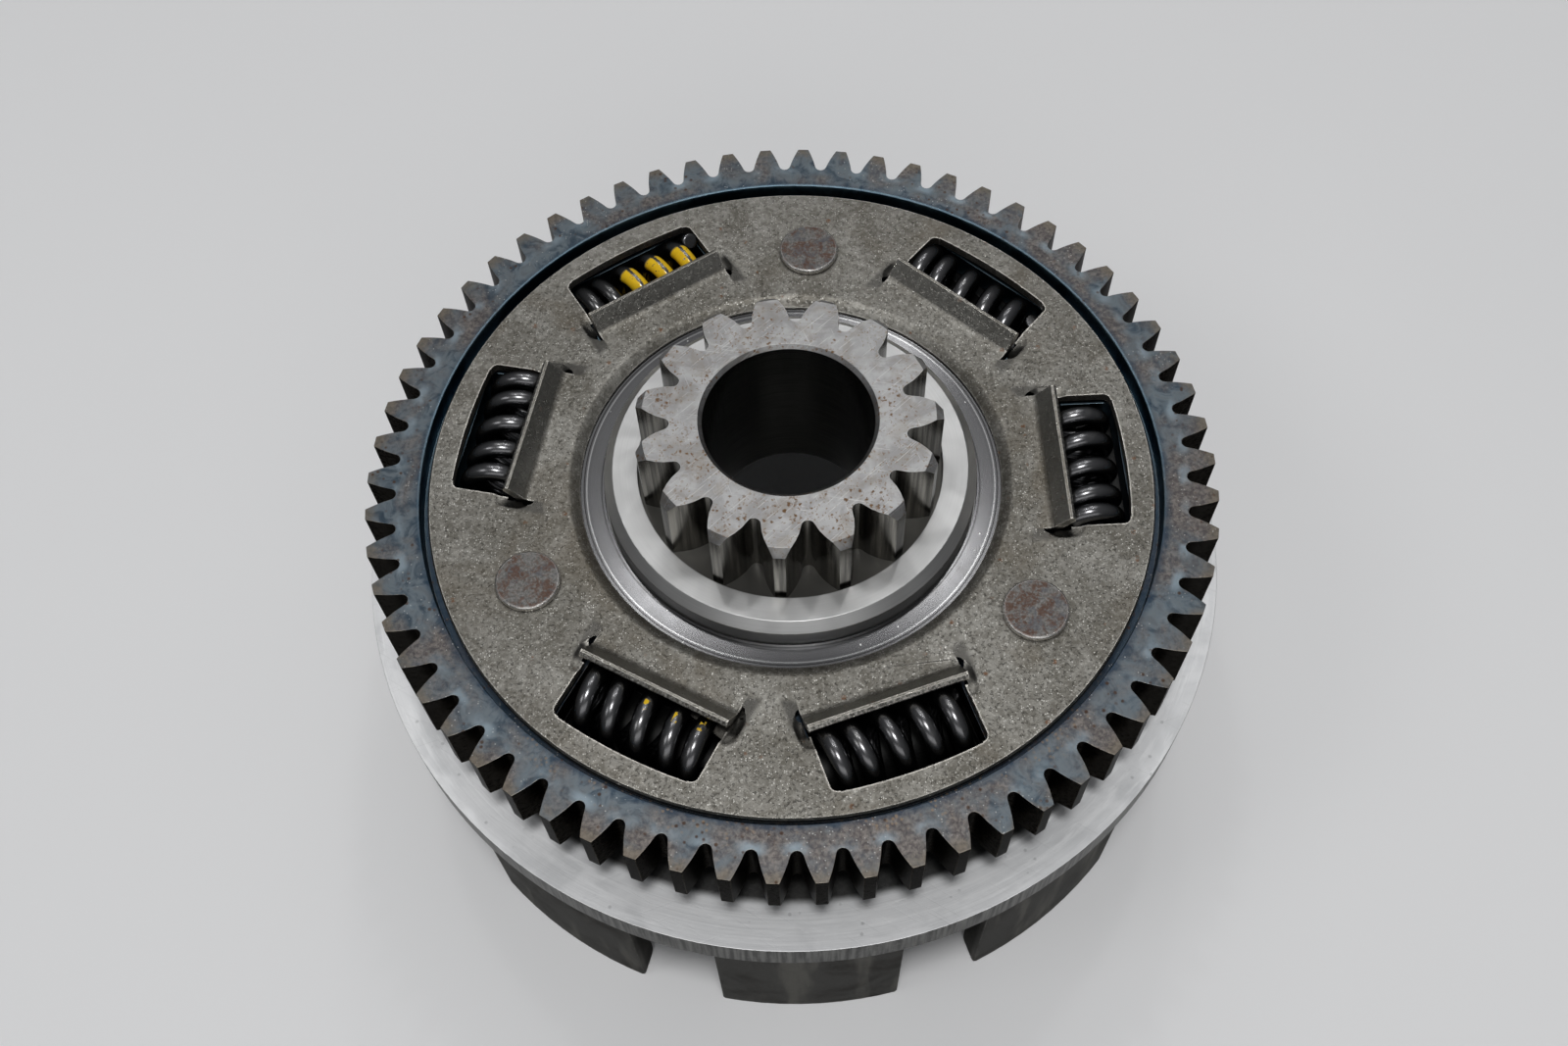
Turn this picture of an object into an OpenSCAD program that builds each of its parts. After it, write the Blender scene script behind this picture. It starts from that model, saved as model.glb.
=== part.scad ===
// Wet clutch outer basket with its primary driven gear, torsion damper and drive pinion.
// The open finger tips stand on z = 0 and the common axis is Z, with the pinion on top.
// Bearings in degrees are counted from +X towards +Y; every size is in millimetres.

/* [Primary gear] */
// Number of teeth on the large driven gear
gear_teeth = 62; // [62:1:64]
// Tooth module of the large driven gear
gear_module = 2; // [2:0.01:2.05]
// Pressure angle of both gears, in degrees
pressure_angle = 20; // [19:0.5:21]
// Face width of the toothed rim
gear_width = 10; // [9.5:0.5:10.5]
// Profile shift of the large gear's teeth, in modules
gear_shift = 0.11; // [0:0.01:0.15]
// Bearing of the first tooth of the large gear
gear_clocking = 4.48; // [0:0.005:6]
// Thickness of the rim between the tooth roots and the bright inner wall
rim_thickness = 3.6; // [3:0.1:3.7]
// Height of the gear's top face above the finger tips
gear_top = 57; // [57:0.5:60]

/* [Gear hub] */
// Radius of the hub collar that stands up through the retaining plate
collar_radius = 28.1; // [27.8:0.1:28.2]
// Height of the collar above the gear's top face
collar_rise = 1.9; // [1.5:0.1:2.4]
// Size of the bevel round the collar's top edge
collar_bevel = 1.4; // [1:0.1:1.5]
// Radius of the shallow recess in the collar that the pinion teeth run down into
recess_radius = 22.9; // [22.8:0.1:23.5]
// Depth of that recess below the collar's top
recess_depth = 1.3; // [1:0.1:1.5]
// Radius of the journal that turns in the basket's middle
journal_radius = 24; // [23.5:0.5:24]

/* [Drive pinion] */
// Number of teeth on the small pinion
pinion_teeth = 15; // [15:1:16]
// Tooth module of the small pinion
pinion_module = 2.5; // [2.45:0.01:2.5]
// Profile shift of the pinion teeth, in modules
pinion_shift = 0.8; // [0.6:0.1:0.8]
// Outer radius of the pinion teeth
pinion_tip_radius = 22.45; // [22:0.05:22.5]
// Radius at the bottom of the pinion's tooth spaces
pinion_root_radius = 17.2; // [17:0.1:17.3]
// Bevel on the upper end of the pinion teeth
pinion_bevel = 1.15; // [0.8:0.05:1.2]
// Height of the pinion's top face above the gear's top face
pinion_rise = 13.75; // [12:0.25:15]
// Bearing of the first pinion tooth
pinion_clocking = 0.5; // [0:0.5:24]
// Diameter of the bore right through the pinion sleeve
bore_diameter = 25; // [24:0.5:26]

/* [Retaining plate] */
// Gap between the plate's edge and the gear rim
plate_gap = 1; // [0.8:0.1:1.2]
// Depth of the plate's top face below the gear's top face
plate_drop = 1.07; // [1:0.01:1.1]
// Thickness of the plate
plate_thickness = 1.5; // [1.4:0.1:1.5]
// Radius of the plate's inner edge
plate_inner_radius = 32; // [31.8:0.1:32.2]
// Radial distance from the hub to the outer side of the spring windows
window_outer_radius = 51; // [50.9:0.1:51.2]
// Radial distance to the bend of the lip along the inner side of each window
lip_bend_radius = 38; // [37.9:0.1:38.1]
// Radial distance to the free edge of each lip
lip_edge_radius = 40.9; // [40.6:0.1:41]
// Height of the free edge of each lip above the plate
lip_height = 2.9; // [2.6:0.1:3]

/* [Damper springs] */
// Distance of the spring centre lines from the hub
spring_circle = 44.6; // [44.5:0.1:44.7]
// Depth of the spring centre lines below the plate's top face
spring_depth = 3.6; // [3.5:0.1:3.8]
// Outer diameter of the coils
spring_diameter = 11.4; // [11:0.1:11.5]
// Diameter of the spring wire
wire_diameter = 2.8; // [2.6:0.1:2.9]
// Free length of each spring, which is also the length of its window
spring_length = 23.1; // [22.5:0.1:23.3]
// Furthest that the gear turns against its springs, in degrees
twist_limit = 4; // [2:0.5:4]

/* [Rivets] */
// Distance of the rivets from the hub
rivet_circle = 42.6; // [42:0.1:43]
// Bearing of the first rivet
rivet_clocking = 83.7; // [83:0.1:84]
// Diameter of the flat rivet heads
rivet_head_diameter = 9.6; // [9:0.1:10]
// Diameter of the rivet shanks
rivet_shank_diameter = 6; // [5:0.5:6.5]
// Height of the rivet heads
rivet_head_height = 0.95; // [0.7:0.05:1.2]

/* [Basket] */
// Outer radius of the basket's flange
flange_radius = 67.8; // [67:0.1:69]
// Thickness of the flange
flange_thickness = 6.2; // [5.5:0.1:6.4]
// Open gap between the flange and the gear
flange_gap = 9.5; // [9:0.1:10]
// Outer radius of the fingers
finger_radius = 66.6; // [66:0.1:66.8]
// Thickness of the fingers
finger_thickness = 4.6; // [4:0.1:5]
// Number of fingers
finger_count = 10; // [8:1:12]
// Width of the slots between the fingers
slot_width = 13.2; // [12:0.2:14]
// Bearing of the first slot
slot_clocking = 287.8; // [286:0.1:290]

/* [Hidden] */

$fn = 96;
cut = 0.5;
running_gap = 0.05;

// Bearings of the rivets and of the spring windows, which lie either side of each rivet.
rivet_count = 3;
rivet_pitch = 360 / rivet_count;
window_offset = 36.5;
function rivet_bearing(i) = rivet_clocking + rivet_pitch * (i - 1);
window_bearings = [
    for (i = [1 : rivet_count]) for (side = [-1, 1]) rivet_bearing(i) + side * window_offset
];

// Heights above the finger tips.
gear_bottom = gear_top - gear_width;
plate_top = gear_top - plate_drop;
plate_bottom = plate_top - plate_thickness;
web_thickness = 4;
cone_thickness = 0.8;
cone_to_plate = 0.03;
cone_rise_per_mm = 0.05;
cone_outer_radius = 36;
cone_inner_radius = collar_radius + 0.2;
web_top = plate_bottom - cone_to_plate - cone_thickness
    - cone_rise_per_mm * (cone_outer_radius - plate_inner_radius);
web_bottom = web_top - web_thickness;
basket_top = web_bottom - 0.3;
washer_thickness = 1.3;
washer_floor = web_bottom - washer_thickness;
flange_top = gear_bottom - flange_gap;
flange_bottom = flange_top - flange_thickness;
crown_thickness = 5.5;
crown_bottom = basket_top - crown_thickness;
slot_corner = 2.4;
slot_top = flange_bottom - 0.5;
finger_top = slot_top - slot_corner - 0.6;
spring_height = plate_top - spring_depth;
collar_top = gear_top + collar_rise;
recess_floor = collar_top - recess_depth;
pinion_top = gear_top + pinion_rise;
hub_bottom = crown_bottom - 2.2;

// Radii.
gear_pitch_radius = gear_teeth * gear_module / 2;
gear_tip_radius = gear_pitch_radius + gear_module;
gear_root_radius = gear_pitch_radius - 1.25 * gear_module;
rim_inner_radius = gear_root_radius - rim_thickness;
plate_outer_radius = rim_inner_radius - plate_gap;
sleeve_radius = pinion_root_radius - 0.4;
crown_radius = rim_inner_radius - 1;
crown_wall = 5.5;
basket_bore_radius = journal_radius + running_gap;
inner_hub_radius = 30;
washer_radius = 35;
finger_inner_radius = finger_radius - finger_thickness;

// Springs, windows and rivet bosses.
spring_radius = spring_diameter / 2;
pocket_gap = 0.15;
window_half = spring_length / 2;
spring_end_gap = 0.05;
web_window_inner = spring_circle - spring_radius - 0.15;
window_corner = 1.1;
window_arc_radius = 80;
lip_half = window_half + 0.3;
relief_radius = 0.95;
boss_radius = 6;
boss_gap = 0.3;
shank_radius = rivet_shank_diameter / 2;

// Coils: closed turns at both ends, open turns between them, and how far each spring is turned
// about its own centre line.
end_turns = 1;
middle_turns = 3;
end_pitch = wire_diameter + 0.25;
coil_travel = spring_length - 2 * spring_end_gap - wire_diameter;
middle_pitch = (coil_travel - 2 * end_turns * end_pitch) / middle_turns;
spring_rolls = [270, 324, 126, 205, 101, 43];

// Steps along curved shapes.
flank_steps = 4;
ring_sides = 8;
steps_per_turn = 16;

// Angle, in degrees, that the involute has turned through at radius r on base radius b.
function involute_turn(r, b) =
    let (a = acos(min(1, b / r))) tan(a) * 180 / PI - a;

// Half of the angle that a tooth covers at radius r.
function tooth_half(r, teeth, module_size, shift) =
    let (b = teeth * module_size / 2 * cos(pressure_angle))
    90 / teeth + shift * 2 * tan(pressure_angle) / teeth * 180 / PI
    + involute_turn(b / cos(pressure_angle), b) - involute_turn(max(r, b), b);

function polar(r, a) = [r * cos(a), r * sin(a)];

// One side of a tooth, from the rounded root to the tip, as [radius, half angle].
function tooth_side(teeth, module_size, shift, root, tip, fillet) =
    let (start = root + fillet)
    concat(
        [for (a = [0 : 30 : 60])
            let (r = start - fillet * cos(a))
            [r, tooth_half(r, teeth, module_size, shift)
                + fillet * (1 - sin(a)) / root * 180 / PI]],
        [for (k = [0 : flank_steps])
            let (r = start + (tip - start) * k / flank_steps)
            [r, tooth_half(r, teeth, module_size, shift)]]
    );

// Outline of a whole spur gear.
module gear_outline(teeth, module_size, shift, root, tip, fillet, clocking) {
    side = tooth_side(teeth, module_size, shift, root, tip, fillet);
    last = len(side) - 1;
    polygon([
        for (t = [0 : teeth - 1])
            let (centre = clocking + t * 360 / teeth)
            for (k = [0 : 2 * last + 1])
                let (rising = k <= last)
                let (point = rising ? side[k] : side[2 * last + 1 - k])
                polar(point[0], centre + (rising ? -point[1] : point[1]))
    ]);
}

// A flat ring between two heights.
module ring(outer, inner, low, high) {
    translate([0, 0, low])
        difference() {
            cylinder(r = outer, h = high - low);
            translate([0, 0, -cut]) cylinder(r = inner, h = high - low + 2 * cut);
        }
}

// The room for one spring: a lying cylinder along the window.
module spring_room(radius) {
    translate([spring_circle, 0, spring_height])
        rotate([90, 0, 0])
            cylinder(r = radius, h = 2 * window_half, center = true);
}

// The back of the cast aluminium basket: flange, raised crown with spring pockets, bosses.
module clutch_basket() {
    color("silver")
    difference() {
        union() {
            ring(finger_radius, finger_inner_radius, finger_top, flange_bottom + cut);
            ring(flange_radius, crown_radius - crown_wall, flange_bottom, flange_top);
            ring(crown_radius, crown_radius - crown_wall, flange_bottom, basket_top);
            ring(crown_radius - cut, basket_bore_radius, crown_bottom, basket_top);
            ring(inner_hub_radius, basket_bore_radius, hub_bottom, basket_top);
            for (i = [1 : rivet_count]) rotate([0, 0, rivet_bearing(i)])
                translate([rivet_circle, 0, crown_bottom])
                    cylinder(r = boss_radius, h = plate_bottom - crown_bottom);
        }
        for (i = [0 : finger_count - 1])
            rotate([0, 0, slot_clocking + i * 360 / finger_count]) slot_end();
        translate([0, 0, washer_floor])
            cylinder(r = washer_radius + 0.3, h = basket_top - washer_floor + cut);
        for (bearing = window_bearings) rotate([0, 0, bearing])
            spring_room(spring_radius + pocket_gap);
        for (i = [1 : rivet_count]) rotate([0, 0, rivet_bearing(i)])
            translate([rivet_circle, 0, crown_bottom - cut])
                cylinder(r = shank_radius, h = plate_bottom - crown_bottom + 2 * cut);
    }
}

// The fingers of the same casting, which meet its back just below the slots' rounded ends.
module basket_fingers() {
    color([0.3, 0.3, 0.3])
    difference() {
        ring(finger_radius, finger_inner_radius, 0, finger_top);
        for (i = [0 : finger_count - 1])
            rotate([0, 0, slot_clocking + i * 360 / finger_count])
                translate([finger_inner_radius - 1.5, -slot_width / 2, -cut])
                    cube([finger_thickness + 3, slot_width, finger_top + 2 * cut]);
        finger_lead_in();
    }
}

// The upper end of one slot between two fingers, with rounded corners.
module slot_end() {
    half = slot_width / 2 - slot_corner;
    corner = [for (a = [0 : 15 : 90])
        [half, slot_top - slot_corner] + slot_corner * [cos(a), sin(a)]];
    translate([finger_inner_radius - 1.5, 0, 0]) rotate([90, 0, 90])
        linear_extrude(height = finger_thickness + 3)
            polygon(concat(
                [[-slot_width / 2, finger_top - cut], [slot_width / 2, finger_top - cut]],
                corner,
                [for (k = [len(corner) - 1 : -1 : 0]) [-corner[k][0], corner[k][1]]]
            ));
}

// The bevel inside the finger tips that guides the clutch plates in.
module finger_lead_in() {
    bevel = 0.8;
    translate([0, 0, -cut])
        cylinder(r1 = finger_inner_radius + bevel + cut, r2 = finger_inner_radius - cut,
                 h = bevel + 2 * cut);
}

// The pressed steel plate that holds the springs down, with a bent lip at each window.
module retaining_plate() {
    color([0.52, 0.5, 0.47])
    difference() {
        union() {
            plate_blank();
            for (bearing = window_bearings) rotate([0, 0, bearing]) lip();
        }
        for (i = [1 : rivet_count]) rotate([0, 0, rivet_bearing(i)])
            translate([rivet_circle, 0, plate_bottom - cut])
                cylinder(r = shank_radius, h = plate_thickness + 2 * cut);
    }
}

// The plate before its lips: rolled inner edge, windows, relief holes and swaged corners.
module plate_blank() {
    edge_round = 0.25;
    difference() {
        rotate_extrude()
            polygon([
                [plate_inner_radius, plate_bottom],
                [plate_outer_radius, plate_bottom],
                [plate_outer_radius, plate_top - edge_round],
                [plate_outer_radius - edge_round, plate_top],
                [plate_inner_radius + 2, plate_top],
                [plate_inner_radius + 1.35, plate_top - 0.2],
                [plate_inner_radius + 0.6, plate_top - 0.75],
                [plate_inner_radius, plate_bottom + 0.3]
            ]);
        for (bearing = window_bearings) rotate([0, 0, bearing]) {
            window_cut();
            for (side = [-1, 1]) {
                translate([lip_bend_radius, side * (lip_half - 0.15), plate_bottom - cut])
                    cylinder(r = relief_radius, h = plate_thickness + 2 * cut, $fn = 32);
                swage(side);
            }
        }
    }
}

// One spring window: straight sides and a slightly bowed outer side.
module window_cut() {
    height = plate_thickness + 2 * cut;
    corner_centre = window_half - window_corner;
    arc_centre = window_outer_radius - window_arc_radius;
    corner_distance = arc_centre - window_corner
        + sqrt(pow(window_arc_radius, 2) - pow(window_half, 2));
    translate([0, 0, plate_bottom - cut]) {
        intersection() {
            union() {
                translate([lip_bend_radius, -window_half, 0])
                    cube([corner_distance - lip_bend_radius, 2 * window_half, height]);
                translate([lip_bend_radius, -corner_centre, 0])
                    cube([20, 2 * corner_centre, height]);
                for (side = [-1, 1]) translate([corner_distance, side * corner_centre, 0])
                    cylinder(r = window_corner, h = height, $fn = 40);
            }
            translate([arc_centre, 0, 0]) cylinder(r = window_arc_radius, h = height);
        }
        translate([lip_bend_radius, -lip_half - 0.2, 0])
            cube([lip_edge_radius - lip_bend_radius + 0.4, 2 * lip_half + 0.4, height]);
    }
}

// The smooth dent pressed into the plate beside each end of a lip.
module swage(side) {
    radius = 3;
    height = 2.5;
    from = lip_bend_radius + 1.3;
    length = 2.6;
    translate([from, side * (lip_half + 0.1), plate_top + height]) {
        rotate([0, 90, 0]) cylinder(r = radius, h = length, $fn = 48);
        sphere(r = radius, $fn = 48);
        translate([length, 0, 0]) sphere(r = radius, $fn = 48);
    }
}

// One lip: a tongue bent up at half a right angle over the inner side of the spring.
module lip() {
    lip_thickness = 1.2;
    slope = 45;
    bend = 1.6;
    bend_steps = 5;
    run = lip_edge_radius - lip_bend_radius;
    // The top line is an arc of radius bend followed by a straight part to the free edge.
    arc_centre = [lip_bend_radius - 0.35, plate_top + bend];
    top_line = [for (k = [0 : bend_steps])
        let (a = slope * k / bend_steps)
        arc_centre + bend * [sin(a), -cos(a)]];
    free_edge = [lip_bend_radius + run, plate_top + lip_height];
    under = [sin(slope), -cos(slope)];
    under_line = [for (k = [bend_steps : -1 : 0])
        let (a = slope * k / bend_steps)
        arc_centre + (bend + (k == 0 ? plate_thickness : lip_thickness)) * [sin(a), -cos(a)]];
    edge_round = 0.3;
    rotate([90, 0, 0])
        linear_extrude(height = 2 * lip_half, center = true)
            polygon(concat(
                [[lip_bend_radius - 1.2, plate_top]],
                top_line,
                [free_edge - edge_round * [cos(slope), sin(slope)],
                 free_edge + edge_round * under,
                 free_edge + (lip_thickness - edge_round) * under,
                 free_edge + lip_thickness * under - edge_round * [cos(slope), sin(slope)]],
                under_line,
                [[lip_bend_radius - 1.2, plate_bottom]]
            ));
}

// One rivet: a flat head on the plate, a shank through the boss and a set tail below.
module rivet(i) {
    head_radius = rivet_head_diameter / 2;
    head_round = 0.35;
    tail_radius = 4.5;
    tail_height = 1.6;
    tail_bevel = 0.4;
    color([0.5, 0.47, 0.45])
    rotate([0, 0, rivet_bearing(i)]) translate([rivet_circle, 0, 0])
        rotate_extrude($fn = 64)
            polygon(concat(
                [[0, crown_bottom - tail_height],
                 [tail_radius - tail_bevel, crown_bottom - tail_height],
                 [tail_radius, crown_bottom - tail_height + tail_bevel],
                 [tail_radius, crown_bottom],
                 [shank_radius, crown_bottom],
                 [shank_radius, plate_top],
                 [head_radius, plate_top]],
                [for (a = [0 : 30 : 90])
                    [head_radius - head_round, plate_top + rivet_head_height - head_round]
                    + head_round * [cos(a), sin(a)]],
                [[0, plate_top + rivet_head_height]]
            ));
}

// The forged gear: toothed rim, thin web with spring windows, hub collar and journal.
module primary_gear() {
    rim_bevel = 0.12;
    color([0.33, 0.38, 0.46])
    difference() {
        union() {
            translate([0, 0, gear_bottom]) linear_extrude(height = gear_width)
                gear_outline(gear_teeth, gear_module, gear_shift, gear_root_radius,
                             gear_tip_radius, 0.68, gear_clocking);
            gear_hub();
        }
        translate([0, 0, web_top])
            ring(rim_inner_radius, collar_radius, 0, gear_top - web_top + cut);
        translate([0, 0, gear_bottom - cut])
            ring(rim_inner_radius, washer_radius, 0, web_bottom - gear_bottom + cut);
        rotate_extrude()
            polygon([
                [rim_inner_radius - cut, gear_top + cut],
                [rim_inner_radius - cut, gear_top - rim_bevel - cut],
                [rim_inner_radius, gear_top - rim_bevel],
                [rim_inner_radius + rim_bevel + cut, gear_top + cut]
            ]);
        ring(washer_radius + cut, journal_radius, hub_bottom - cut, web_bottom);
        translate([0, 0, hub_bottom - cut])
            cylinder(r = sleeve_radius, h = recess_floor - hub_bottom + 2 * cut);
        translate([0, 0, recess_floor])
            cylinder(r = recess_radius, h = recess_depth + cut);
        for (bearing = window_bearings) rotate([0, 0, bearing]) web_window();
        for (i = [1 : rivet_count]) rotate([0, 0, rivet_bearing(i)]) boss_slot();
    }
}

// The solid of the hub: journal below the web and the bevelled collar above it.
module gear_hub() {
    rotate_extrude()
        polygon([
            [0, hub_bottom],
            [journal_radius - 0.5, hub_bottom],
            [journal_radius, hub_bottom + 0.5],
            [journal_radius, web_bottom],
            [collar_radius, web_bottom],
            [collar_radius, collar_top - collar_bevel],
            [collar_radius - collar_bevel, collar_top],
            [0, collar_top]
        ]);
}

// One opening in the gear's web for a spring.
module web_window() {
    translate([web_window_inner, -window_half, web_bottom - cut])
        cube([window_outer_radius - web_window_inner, 2 * window_half, web_thickness + 2 * cut]);
}

// The curved slot in the web that lets a rivet boss travel as the gear twists.
module boss_slot() {
    reach = boss_radius + boss_gap;
    travel = twist_limit + 0.5;
    height = web_thickness + 2 * cut;
    translate([0, 0, web_bottom - cut]) {
        rotate([0, 0, -travel]) rotate_extrude(angle = 2 * travel)
            translate([rivet_circle - reach, 0]) square([2 * reach, height]);
        for (side = [-1, 1]) rotate([0, 0, side * travel])
            translate([rivet_circle, 0, 0]) cylinder(r = reach, h = height);
    }
}

// The steel pinion on its sleeve, pressed into the gear hub.
module drive_pinion() {
    mouth_bevel = 0.6;
    bore_radius = bore_diameter / 2;
    color([0.62, 0.61, 0.6])
    difference() {
        union() {
            intersection() {
                translate([0, 0, recess_floor])
                    linear_extrude(height = pinion_top - recess_floor)
                        gear_outline(pinion_teeth, pinion_module, pinion_shift,
                                     pinion_root_radius, pinion_tip_radius, 0.8,
                                     pinion_clocking);
                pinion_end_bevel();
            }
            translate([0, 0, hub_bottom])
                cylinder(r = sleeve_radius, h = pinion_top - hub_bottom - 1);
        }
        translate([0, 0, hub_bottom - cut])
            cylinder(r = bore_radius, h = pinion_top - hub_bottom + 2 * cut);
        translate([0, 0, pinion_top - mouth_bevel])
            cylinder(r1 = bore_radius, r2 = bore_radius + mouth_bevel + 0.1,
                     h = mouth_bevel + 0.1);
    }
}

// The turned shape that bevels the upper ends of the pinion teeth.
module pinion_end_bevel() {
    reach = pinion_tip_radius + 0.5;
    rotate_extrude()
        polygon([
            [0, recess_floor],
            [reach, recess_floor],
            [reach, pinion_top - pinion_bevel - 0.5],
            [pinion_tip_radius - pinion_bevel, pinion_top],
            [0, pinion_top]
        ]);
}

// The polished dished spring washer between the web and the plate's inner edge.
module cone_spring() {
    width = cone_outer_radius - cone_inner_radius;
    color([0.45, 0.45, 0.46])
    translate([0, 0, web_top])
        rotate_extrude()
            polygon([
                [cone_outer_radius, 0],
                [cone_outer_radius, cone_thickness],
                [cone_inner_radius, cone_thickness + width * cone_rise_per_mm],
                [cone_inner_radius, width * cone_rise_per_mm]
            ]);
}

// The flat washer that the web turns on, let into the basket's crown.
module thrust_washer() {
    color([0.6, 0.55, 0.42])
    ring(washer_radius, journal_radius + 0.4, washer_floor, web_bottom);
}

// How far along its spring the wire has come after t turns.
function coil_height(t) =
    t < end_turns ? t * end_pitch
    : t < end_turns + middle_turns ? end_turns * end_pitch + (t - end_turns) * middle_pitch
    : (end_turns * 2) * end_pitch + middle_turns * middle_pitch
      - (2 * end_turns + middle_turns - t) * end_pitch;

// One coiled compression spring as a swept tube along its helix.
module damper_spring(i) {
    turns = 2 * end_turns + middle_turns;
    rings = turns * steps_per_turn;
    wire_radius = wire_diameter / 2;
    mean_radius = spring_radius - wire_radius;
    slope = atan(middle_pitch / (2 * PI * mean_radius));
    points = [for (k = [0 : rings])
        let (turn = k / steps_per_turn)
        let (a = 90 + spring_rolls[i - 1] + 360 * turn)
        let (out = [cos(a), 0, sin(a)])
        let (across = [sin(a) * sin(slope), -cos(slope), -cos(a) * sin(slope)])
        let (middle = mean_radius * out + [0, coil_travel / 2 - coil_height(turn), 0])
        for (j = [0 : ring_sides - 1])
            let (b = 360 * j / ring_sides)
            middle + wire_radius * (cos(b) * out + sin(b) * across)];
    faces = concat(
        [[for (j = [0 : ring_sides - 1]) j]],
        [for (k = [0 : rings - 1]) for (j = [0 : ring_sides - 1])
            let (next = (j + 1) % ring_sides)
            [k * ring_sides + j, (k + 1) * ring_sides + j,
             (k + 1) * ring_sides + next, k * ring_sides + next]],
        [[for (j = [ring_sides - 1 : -1 : 0]) rings * ring_sides + j]]
    );
    color([0.08, 0.08, 0.09])
    rotate([0, 0, window_bearings[i - 1]])
        translate([spring_circle, 0, spring_height])
            polyhedron(points = points, faces = faces, convexity = 10);
}

clutch_basket();
basket_fingers();
retaining_plate();
rivet(1);  // rivet_1
rivet(2);  // rivet_2
rivet(3);  // rivet_3
primary_gear();
drive_pinion();
cone_spring();
thrust_washer();
damper_spring(1);  // damper_spring_1
damper_spring(2);  // damper_spring_2
damper_spring(3);  // damper_spring_3
damper_spring(4);  // damper_spring_4
damper_spring(5);  // damper_spring_5
damper_spring(6);  // damper_spring_6
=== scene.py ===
"""The looks of a motorcycle clutch basket with its primary driven gear."""
import math

import bmesh
import bpy
from mathutils import Matrix, Vector


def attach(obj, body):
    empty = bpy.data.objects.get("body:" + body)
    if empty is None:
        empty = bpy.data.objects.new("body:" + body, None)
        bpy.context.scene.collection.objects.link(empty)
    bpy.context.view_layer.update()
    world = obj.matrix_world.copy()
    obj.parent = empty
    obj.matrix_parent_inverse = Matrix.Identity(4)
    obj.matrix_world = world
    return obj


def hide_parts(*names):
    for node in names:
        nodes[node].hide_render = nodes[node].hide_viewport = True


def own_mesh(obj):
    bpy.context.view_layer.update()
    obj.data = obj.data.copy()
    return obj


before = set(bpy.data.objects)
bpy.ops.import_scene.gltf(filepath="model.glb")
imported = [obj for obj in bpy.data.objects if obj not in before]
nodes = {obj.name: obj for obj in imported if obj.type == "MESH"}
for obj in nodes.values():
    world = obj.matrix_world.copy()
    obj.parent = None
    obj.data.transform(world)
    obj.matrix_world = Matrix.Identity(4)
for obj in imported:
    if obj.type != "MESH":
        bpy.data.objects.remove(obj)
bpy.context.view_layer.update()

MM = 0.001

# The CAD model's dimensions that the looks follow. Lengths are millimetres, radii are from the
# common axis, heights are above the floor, and bearings are degrees.
GEAR_TEETH = 62
FIRST_TOOTH = 4.48
ROOT_RADIUS = 59.5
RIM_INSIDE = 55.9
COLLAR_RADIUS = 28.1
RECESS_RADIUS = 22.9
BORE_RADIUS = 12.5
PLATE_TOP = 55.93
LIP_RADIUS = 38.0
LIP_HALF_LENGTH = 11.85
FLANGE_RADIUS = 67.8
FINGER_RADIUS = 66.6
FIRST_RIVET = 83.7
RIVET_PITCH = 120
WINDOW_OFFSET = 36.5
SPRING_COUNT = 6
SPRING_CIRCLE = 44.6
SPRING_HEIGHT = 52.33


# ---------------------------------------------------------------- materials

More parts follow.
